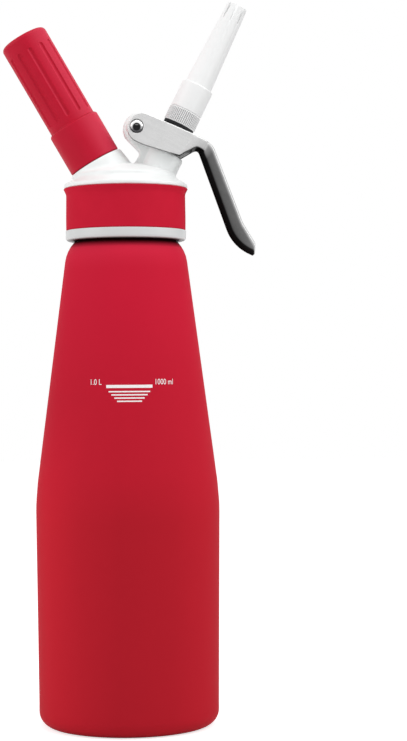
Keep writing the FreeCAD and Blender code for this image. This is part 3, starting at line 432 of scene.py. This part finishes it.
valveTurn = math.radians(-lean["valve"][1])
finishes = {
    "coat": makeCoat(),
    "bandRed": makeRed("bandRed", (0.610, 0.0140, 0.0390), (0.585, 0.0130, 0.0360), 0.60, 3800.0, 0.00005,
                       Specular_IOR_Level=0.04),
    # the holder has painted light on one side
    "holderRed": makeRed("holderRed", (0.540, 0.0090, 0.0330), (0.515, 0.0080, 0.0290), 0.42, 2600.0, 0.00003,
                         lit=(0.620, 0.0300, 0.0680), Specular_IOR_Level=0.12),
    "headWhite": makeWhite("headWhite", (0.92, 0.94, 0.935), 0.30),
    # the ring's underside is painted near black as the shadow in the gap under it
    "ringWhite": makeWhite("ringWhite", (0.70, 0.71, 0.71), 0.34, shadeBelow=(0.02, 0.018, 0.018)),
    # the tip has painted shade on the side that leans down
    "tipWhite": makeWhite("tipWhite", (0.95, 0.955, 0.955), 0.32, valveTurn, shadow=0.22),
    "knurlWhite": makeKnurled(),
    "leverMetal": makeLeverMetal(),
    "pinPolished": makePinSteel(),
    "turnedSteel": makeSteel("turnedSteel", (0.62, 0.62, 0.62), 0.28, 3000.0, valveTurn, 1.0),
    "springSteel": makeSteel("springSteel", (0.45, 0.45, 0.46), 0.35, 4000.0),
    "zincSteel": makeSteel("zincSteel", (0.66, 0.67, 0.70), 0.30, 1200.0, 0.0, 1.0),
    "blackRubber": makeRubber("blackRubber", (0.018, 0.018, 0.020)),
    "valveRubber": makeRubber("valveRubber", (0.30, 0.02, 0.02)),
    "bushPlastic": makeWhite("bushPlastic", (0.70, 0.70, 0.66), 0.5),
    "print": makeInk(),
}
print("finishes:", len(finishes))


# modelling helpers

# steps in half a right angle of a rounded corner
arcSteps = 5


def roundCorners(corners):
    # (radius, height[, rounding]) in millimetres, to points in metres with each rounding as an arc
    points = []
    count = len(corners)
    for index, corner in enumerate(corners):
        here = Vector(corner[:2]) * mm
        if len(corner) < 3:
            points.append(here)
            continue
        towards = (Vector(corners[index - 1][:2]) * mm - here).normalized()
        onwards = (Vector(corners[(index + 1) % count][:2]) * mm - here).normalized()
        half = towards.angle(onwards) / 2
        radius = corner[2] * mm
        middle = (towards + onwards).normalized()
        centre = here + middle * (radius / math.sin(half))
        reach = radius / math.tan(half)
        first = here + towards * reach - centre
        last = here + onwards * reach - centre
        turn = first.angle_signed(last)
        steps = max(2, round(abs(turn) / math.radians(90) * arcSteps * 2))
        for step in range(steps + 1):
            arm = first.copy()
            arm.rotate(Matrix.Rotation(-turn * step / steps, 2))
            points.append(centre + arm)
    return points


def linkedObject(name, mesh):
    piece = bpy.data.objects.new(name, mesh)
    bpy.context.scene.collection.objects.link(piece)
    return piece


def finishedObject(name, bm, place=upright, sharpAngle=32):
    # merge doubles, point the faces outwards, move the mesh to its place and shade it
    bmesh.ops.remove_doubles(bm, verts=bm.verts, dist=0.002 * mm)
    bmesh.ops.recalc_face_normals(bm, faces=bm.faces)
    bmesh.ops.transform(bm, matrix=place, verts=bm.verts)
    mesh = bpy.data.meshes.new(name)
    bm.to_mesh(mesh)
    bm.free()
    mesh.shade_smooth()
    mesh.set_sharp_from_angle(angle=math.radians(sharpAngle))
    return linkedObject(name, mesh)


def spunMesh(corners, steps, closed=False):
    # an outline of (radius, height) turned about Z
    bm = bmesh.new()
    verts = [bm.verts.new((point.x, 0, point.y)) for point in roundCorners(corners)]
    pairs = list(zip(verts, verts[1:]))
    if closed:
        pairs.append((verts[-1], verts[0]))
    edges = [bm.edges.new(pair) for pair in pairs]
    bmesh.ops.spin(bm, geom=verts + edges, cent=(0, 0, 0), axis=(0, 0, 1), angle=math.radians(360),
                   steps=steps, use_merge=True)
    return bm


def applied(piece, sharpAngle=32):
    # replace a piece's mesh by what its modifiers make of it
    graph = bpy.context.evaluated_depsgraph_get()
    mesh = bpy.data.meshes.new_from_object(piece.evaluated_get(graph))
    piece.modifiers.clear()
    piece.data = mesh
    mesh.shade_smooth()
    mesh.set_sharp_from_angle(angle=math.radians(sharpAngle))
    return piece


def cutAway(piece, cutter, sharpAngle=32):
    modifier = piece.modifiers.new("cut", "BOOLEAN")
    modifier.operation = "DIFFERENCE"
    modifier.solver = "EXACT"
    modifier.object = cutter
    applied(piece, sharpAngle)
    bpy.data.objects.remove(cutter)


def softened(node, name, voxel, passes, sharpAngle=50):
    # a copy of a node with its edges and inner corners softened as a casting's or moulding's are
    bm = bmesh.new()
    bm.from_mesh(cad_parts[node].data)
    piece = finishedObject(name, bm)
    remesh = piece.modifiers.new("even", "REMESH")
    remesh.mode = "VOXEL"
    remesh.voxel_size = voxel * mm
    smooth = piece.modifiers.new("soften", "SMOOTH")
    smooth.factor = 0.5
    smooth.iterations = passes
    return applied(piece, sharpAngle)


def dress(piece, finish, body, nodes=()):
    piece.data.materials.clear()
    piece.data.materials.append(finishes[finish])
    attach(piece, body)
    if nodes:
        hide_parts(*nodes)
    return piece


# bottle

bottle = {"outside": [(0, 6), (26, 6, 6), (34, 0, 3), (46.5, 0, 8), (46.5, 12, 40), (47.49, 114, 80),
                      (46.5, 126, 40), (30.668, 246.8, 18), (24.2, 252), (24.2, 270, 0.6)],
          "inside": [(21.5, 270, 0.6), (21.5, 251), (29.168, 245.3, 16.5), (45, 126, 30), (46, 114, 60),
                     (45, 12, 40), (45, 1.5, 6.5), (35, 1.5, 3), (27, 7.5, 6), (0, 7.5)],
          "steps": 160}


def makeBottle():
    bm = spunMesh(bottle["outside"] + bottle["inside"], bottle["steps"])
    dress(finishedObject("bottleShell", bm), "coat", "bottle", ["bottle"])


thread = {"root": 24.0, "crest": 25.4, "start": 259, "foot": 2.2, "top": 1.0, "pitch": 4, "turns": 1.5,
          "steps": 96}


def makeNeckThread():
    # one ridge section, swept up and round the neck
    size = thread
    section = [(size["root"], -size["foot"] / 2), (size["crest"], -size["top"] / 2),
               (size["crest"], size["top"] / 2), (size["root"], size["foot"] / 2)]
    bm = bmesh.new()
    verts = [bm.verts.new((r * mm, 0, (size["start"] + height) * mm)) for r, height in section]
    face = bm.faces.new(verts)
    steps = int(size["steps"] * size["turns"])
    rise = size["pitch"] * size["turns"] * mm / steps
    bmesh.ops.spin(bm, geom=[face], cent=(0, 0, 0), axis=(0, 0, 1), dvec=(0, 0, rise),
                   angle=math.radians(360 * size["turns"]), steps=steps)
    bmesh.ops.holes_fill(bm, edges=bm.edges)
    dress(finishedObject("neckThread", bm), "coat", "bottle")


# fill mark

fillMark = {"height": 175.4, "thick": 1.55, "width": 23.4, "shift": 1.2,
            "lines": [(2.6, 21.0), (4.2, 18.3), (5.8, 15.2), (7.4, 12.5)], "lineThick": 0.67,
            "lift": 0.02, "depth": 0.05, "cuts": 15, "letterSize": 4.0, "narrow": 0.82,
            "coneRadius": 46.5, "coneFoot": 126, "coneSlope": 0.131,
            "words": [("1.0 L", -16.2, 177.5), ("1000 ml", 19.3, 177.5)]}


def bentOnCone(bm):
    # flat (across, off the wall, height) to the cone's wall, facing the front
    look = fillMark
    for vert in bm.verts:
        across, off, height = vert.co
        wall = (look["coneRadius"] - look["coneSlope"] * (height / mm - look["coneFoot"])) * mm + off
        angle = across / wall
        vert.co = (wall * math.sin(angle), -wall * math.cos(angle), height)


def makeFillMark():
    look = fillMark
    off = look["lift"] + look["depth"] / 2
    bars = [(look["height"], look["width"], look["thick"])]
    bars += [(look["height"] - drop, width, look["lineThick"]) for drop, width in look["lines"]]
    bm = bmesh.new()
    for height, width, thick in bars:
        # each bar's long edges are cut, so that it can follow the wall
        middle = Matrix.Translation((look["shift"] * mm, off * mm, height * mm))
        stretch = Matrix.Diagonal((width * mm, look["depth"] * mm, thick * mm, 1))
        made = bmesh.ops.create_cube(bm, size=1, matrix=middle @ stretch)
        long = [edge for vert in made["verts"] for edge in vert.link_edges]
        long = [edge for edge in set(long) if abs(edge.verts[0].co.x - edge.verts[1].co.x) > 1 * mm]
        bmesh.ops.subdivide_edges(bm, edges=long, cuts=look["cuts"], use_grid_fill=True)
    bentOnCone(bm)
    dress(finishedObject("fillBars", bm), "print", "bottle")
    for index, (words, across, height) in enumerate(look["words"]):
        curve = bpy.data.curves.new(f"fillWords{index + 1}", "FONT")
        curve.body = words
        curve.size = look["letterSize"] * mm
        curve.align_x, curve.align_y = "CENTER", "CENTER"
        curve.extrude = look["depth"] / 2 * mm
        text = linkedObject(curve.name, curve)
        mesh = bpy.data.meshes.new_from_object(text.evaluated_get(bpy.context.evaluated_depsgraph_get()))
        bpy.data.objects.remove(text)
        bm = bmesh.new()
        bm.from_mesh(mesh)
        stand = Matrix(((look["narrow"], 0, 0, across * mm), (0, 0, 1, off * mm),
                        (0, 1, 0, height * mm), (0, 0, 0, 1)))
        bmesh.ops.transform(bm, matrix=stand, verts=bm.verts)
        bentOnCone(bm)
        dress(finishedObject(curve.name, bm), "print", "bottle")


makeBottle()
makeNeckThread()
makeFillMark()
print("bottle made")


# head

headCollar = {"band": [(28.65, 255.75, 0.2), (30.9, 255.75, 0.7), (30.95, 262, 12), (30.8, 274.4, 4),
                       (32.25, 277.25, 0.25), (28.65, 277.25)],
              "ring": [(27.2, 250.3, 0.5), (31.2, 250.3, 1.9), (31.2, 255.7, 0.45), (28.65, 255.7),
                       (28.65, 252), (27.2, 252)],
              "steps": 144}
headCast = {"voxel": 0.55, "passes": 3}


def makeHead():
    cast = softened("head_body", "headShell", headCast["voxel"], headCast["passes"])
    dress(cast, "headWhite", "head", ["head_body"])
    band = spunMesh(headCollar["band"], headCollar["steps"], closed=True)
    dress(finishedObject("gripBand", band), "bandRed", "head", ["grip_band"])
    ring = spunMesh(headCollar["ring"], headCollar["steps"], closed=True)
    dress(finishedObject("skirtRing", ring), "ringWhite", "head", ["skirt_ring"])


makeHead()
print("head made")


# charger holder

holder = {"outline": [(11.0, 31.3), (13.8, 31.3, 0.8), (13.8, 54.0, 1.2), (12.54, 54.0, 0.5),
                      (12.54, 105.4, 2.4), (0, 106.7), (0, 103.72), (9.65, 103.72, 1), (9.65, 47.9),
                      (11.0, 46.4)],
          "radius": 12.54, "steps": 144, "flutes": 12, "fluteRadius": 1.6, "fluteDepth": 0.7,
          "fluteStart": 57, "fluteEnd": 98, "fluteSteps": 20, "sharp": 28}


def makeHolder():
    size = holder
    shell = finishedObject("holderShell", spunMesh(size["outline"], size["steps"], closed=True))
    radius = size["fluteRadius"]
    cutter = bmesh.new()
    for index in range(size["flutes"]):
        flute = spunMesh([(0, size["fluteStart"]), (radius, size["fluteStart"], radius - 0.02),
                          (radius, size["fluteEnd"], radius - 0.02), (0, size["fluteEnd"])],
                         size["fluteSteps"])
        out = Matrix.Rotation(math.radians(-90 + 360 * index / size["flutes"]), 4, "Z")
        aside = Matrix.Translation(((size["radius"] - size["fluteDepth"] + radius) * mm, 0, 0))
        bmesh.ops.transform(flute, matrix=out @ aside, verts=flute.verts)
        mesh = bpy.data.meshes.new("flute")
        flute.to_mesh(mesh)
        flute.free()
        cutter.from_mesh(mesh)
    cutAway(shell, finishedObject("fluteCutter", cutter), size["sharp"])
    shell.data.transform(portPlace)
    dress(shell, "holderRed", "charger_holder", ["charger_holder"])


makeHolder()
print("holder made")


# adaptor and tip

adaptor = {"outline": [(3.0, 62.6), (8.35, 62.6, 0.3), (8.35, 70.6, 0.4), (6.4, 70.6), (6.4, 78.2, 0.4),
                       (2.4, 78.2), (2.4, 69.5), (3.0, 69.5)],
           "wall": 8.2, "crest": 8.68, "depth": 0.42, "start": 63.0, "end": 70.2, "ridges": 52,
           "rowPitch": 0.95, "rowShare": 0.45, "rows": 38, "tall": 6, "steps": 312, "sharp": 60}


def makeAdaptor():
    size = adaptor
    bm = spunMesh(size["outline"], size["steps"], closed=True)
    wall = [edge for edge in bm.edges if abs(edge.verts[0].co.z - edge.verts[1].co.z) > size["tall"] * mm
            and math.hypot(*edge.verts[0].co.xy) > size["wall"] * mm]
    bmesh.ops.subdivide_edges(bm, edges=wall, cuts=size["rows"], use_grid_fill=True)
    groove = bm.verts.layers.float.new("groove")
    for vert in bm.verts:
        height = vert.co.z / mm
        if size["start"] < height < size["end"] and math.hypot(*vert.co.xy) > size["wall"] * mm:
            line = abs(math.sin(math.atan2(vert.co.y, vert.co.x) * size["ridges"] / 2))
            row = abs(math.sin(math.pi * height / size["rowPitch"]))
            vert[groove] = 1 - min(line, size["rowShare"] + (1 - size["rowShare"]) * row)
            vert.co.xy = vert.co.xy.normalized() * (size["crest"] - size["depth"] * vert[groove]) * mm
    hub = finishedObject("knurledAdaptor", bm, valvePlace, size["sharp"])
    dress(hub, "knurlWhite", "valve_stem", ["nozzle_adaptor"])


tip = {"outline": [(6.5, 70.7, 0.15), (8.5, 70.7, 0.5), (8.5, 85.0, 0.7), (7.2, 85.0, 0.3),
                   (5.4, 131.57, 0.4), (4.4, 131.57, 0.2), (4.4, 107.1, 3), (5.4, 79.2), (6.5, 79.2)],
       "steps": 96, "teeth": 8, "end": 131.57, "slotLength": 9.0, "slotMouth": 1.6 * 1.09, "slotFoot": 0.42,
       "slotFrom": 2.5, "slotTo": 9.0, "past": 1, "bevel": 0.16, "bevelAngle": 50, "sharp": 35}


def makeTip():
    size = tip
    shell = finishedObject("starTip", spunMesh(size["outline"], size["steps"], closed=True))
    cutter = bmesh.new()
    for index in range(size["teeth"]):
        made = bmesh.ops.create_cube(cutter, size=1)
        for vert in made["verts"]:
            high = vert.co.z > 0
            width = size["slotMouth"] if high else size["slotFoot"]
            reach = size["slotTo"] if vert.co.x > 0 else size["slotFrom"]
            height = size["end"] + (size["past"] if high else -size["slotLength"])
            side = 1 if vert.co.y > 0 else -1
            vert.co = Vector((reach, side * width / 2, height)) * mm
        turn = Matrix.Rotation(math.radians(360 * index / size["teeth"]), 4, "Z")
        bmesh.ops.rotate(cutter, verts=made["verts"], cent=(0, 0, 0), matrix=turn.to_3x3())
    cutAway(shell, finishedObject("slotCutter", cutter), size["sharp"])
    bevel = shell.modifiers.new("ease", "BEVEL")
    bevel.width = size["bevel"] * mm
    bevel.segments = 2
    bevel.limit_method = "ANGLE"
    bevel.angle_limit = math.radians(size["bevelAngle"])
    applied(shell, size["sharp"])
    shell.data.transform(valvePlace)
    dress(shell, "tipWhite", "tip", ["decorator_tip"])


makeAdaptor()
makeTip()
print("adaptor and tip made")


# lever and its pin

pin = {"outline": [(0, -13.25), (0.9, -13.25, 1), (1.9, -13.65, 0.8), (3.3, -13.3, 1.1), (3.3, -12.35, 0.1),
                   (2.5, -12.3), (2.5, 14.4, 0.3), (0, 14.4)],
       "across": -18.9, "along": 51.0, "steps": 64}
leverCast = {"voxel": 0.36, "passes": 8, "sharp": 60}


def makeLever():
    cast = softened("lever", "castLever", leverCast["voxel"], leverCast["passes"], leverCast["sharp"])
    dress(cast, "leverMetal", "lever", ["lever"])
    bm = spunMesh(pin["outline"], pin["steps"])
    centre = Matrix.Translation((pin["across"] * mm, 0, pin["along"] * mm))
    lay = centre @ Matrix.Rotation(math.radians(-90), 4, "X")
    dress(finishedObject("pivotPin", bm, valvePlace @ lay), "pinPolished", "head", ["pivot_pin"])


makeLever()
print("lever made")


# valve spring

spring = {"foot": 36.8, "travel": 3.38}


def makeSpring():
    # the coil stands on its foot; its length above the foot is worked out, but nothing shortens it as the
    # stem comes down
    bm = bmesh.new()
    bm.from_mesh(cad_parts["valve_spring"].data)
    coil = dress(finishedObject("springCoil", bm), "springSteel", "head", ["valve_spring"])
    axis = valvePlace.to_3x3() @ Vector((0, 0, 1))
    foot = valvePlace @ Vector((0, 0, spring["foot"] * mm))
    length = max((vert.co - foot).dot(axis) for vert in coil.data.vertices)
    1 - spring["travel"] * mm / length
    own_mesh(coil)


makeSpring()
print("spring made")


# nodes that keep their own shape

nodeFinishes = {
    "head_gasket": "valveRubber", "check_valve": "valveRubber", "valve_seat": "turnedSteel",
    "stem_bush": "bushPlastic", "spring_washer": "turnedSteel", "valve_stem": "turnedSteel",
    "poppet_seal": "blackRubber", "stem_rings": "blackRubber", "thrust_collar": "turnedSteel",
    "jam_nut": "turnedSteel", "adaptor_washer": "blackRubber", "tip_seal": "blackRubber",
    "pivot_nut": "pinPolished", "pivot_washers": "bushPlastic", "port_stub": "turnedSteel",
    "piercing_pin": "turnedSteel", "charger_seal": "blackRubber", "charger": "zincSteel",
    "holder_pad": "valveRubber",
}

for node, finish in nodeFinishes.items():
    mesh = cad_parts[node].data
    mesh.materials.clear()
    mesh.materials.append(finishes[finish])
print("inner pieces finished:", len(nodeFinishes))


# floor, light and camera

# lamps: name, place, size and power
studio = {"floor": 3.0, "cameraDistance": 1029.0, "cameraHeight": 183.05, "yaw": 2.21, "roll": 0.415,
          "lens": 96.34, "sensor": 36, "worldLight": 0.52, "floorGlow": 0.66, "aim": (0, 0, 0.2),
          "lamps": [("leftLamp", (-1.2, -0.45, 0.75), 0.8, 5.8), ("rightLamp", (1.2, -0.45, 0.85), 0.8, 6.2),
                    ("topLamp", (0.25, -0.35, 1.4), 0.9, 5.4)]}


def backdropSeen(tree, path):
    # 1 where the camera, a reflection or glass looks at the backdrop
    seen = Wire(tree, path.outputs["Is Camera Ray"]) + Wire(tree, path.outputs["Is Glossy Ray"])
    return (seen + Wire(tree, path.outputs["Is Transmission Ray"])).clamped()


def makePaleFloor():
    # pale floor that is seen as white where nothing shades it
    finish = Finish("paleFloor", Emission_Strength=1.0, Specular_IOR_Level=0.0)
    finish.colour(finish.between(finish.noise(6.0, 2.0), (0.80, 0.80, 0.80), (0.82, 0.82, 0.82)))
    finish.rough(0.8 + 0.1 * finish.noise(40.0))
    seen = backdropSeen(finish.tree, finish.node("ShaderNodeLightPath"))
    finish.join(seen * studio["floorGlow"], finish.shader.inputs["Emission Color"])
    return finish.material


def makeFloor():
    bm = bmesh.new()
    bmesh.ops.create_grid(bm, x_segments=1, y_segments=1, size=studio["floor"])
    floor = finishedObject("studioFloor", bm)
    floor.data.materials.append(makePaleFloor())


def makeLight():
    world = bpy.data.worlds.new("studioWorld")
    bpy.context.scene.world = world
    world.use_nodes = True
    tree = world.node_tree
    seen = backdropSeen(tree, tree.nodes.new("ShaderNodeLightPath"))
    level = studio["worldLight"] + (1 - studio["worldLight"]) * seen
    tree.links.new(level.socket, tree.nodes["Background"].inputs["Strength"])
    tree.nodes["Background"].inputs["Color"].default_value = (1, 1, 1, 1)
    for name, place, size, power in studio["lamps"]:
        light = bpy.data.lights.new(name, "AREA")
        light.size = size
        light.energy = power
        lamp = linkedObject(name, light)
        lamp.location = place
        lamp.rotation_euler = (Vector(studio["aim"]) - Vector(place)).to_track_quat("-Z", "Y").to_euler()


def makeCamera():
    camera = bpy.data.cameras.new("studioCamera")
    camera.lens = studio["lens"]
    camera.sensor_width = studio["sensor"]
    camera.clip_start, camera.clip_end = 0.05, 20
    stand = linkedObject("studioCamera", camera)
    turn = Matrix.Rotation(math.radians(-studio["yaw"]), 4, "Z") @ Matrix.Rotation(math.radians(90), 4, "X")
    turn = turn @ Matrix.Rotation(math.radians(-studio["roll"]), 4, "Z")
    place = Matrix.Translation((0, -studio["cameraDistance"] * mm, studio["cameraHeight"] * mm))
    stand.matrix_world = place @ turn
    bpy.context.scene.camera = stand


makeFloor()
makeLight()
makeCamera()
bpy.context.scene.view_settings.view_transform = "Standard"
print("studio ready")
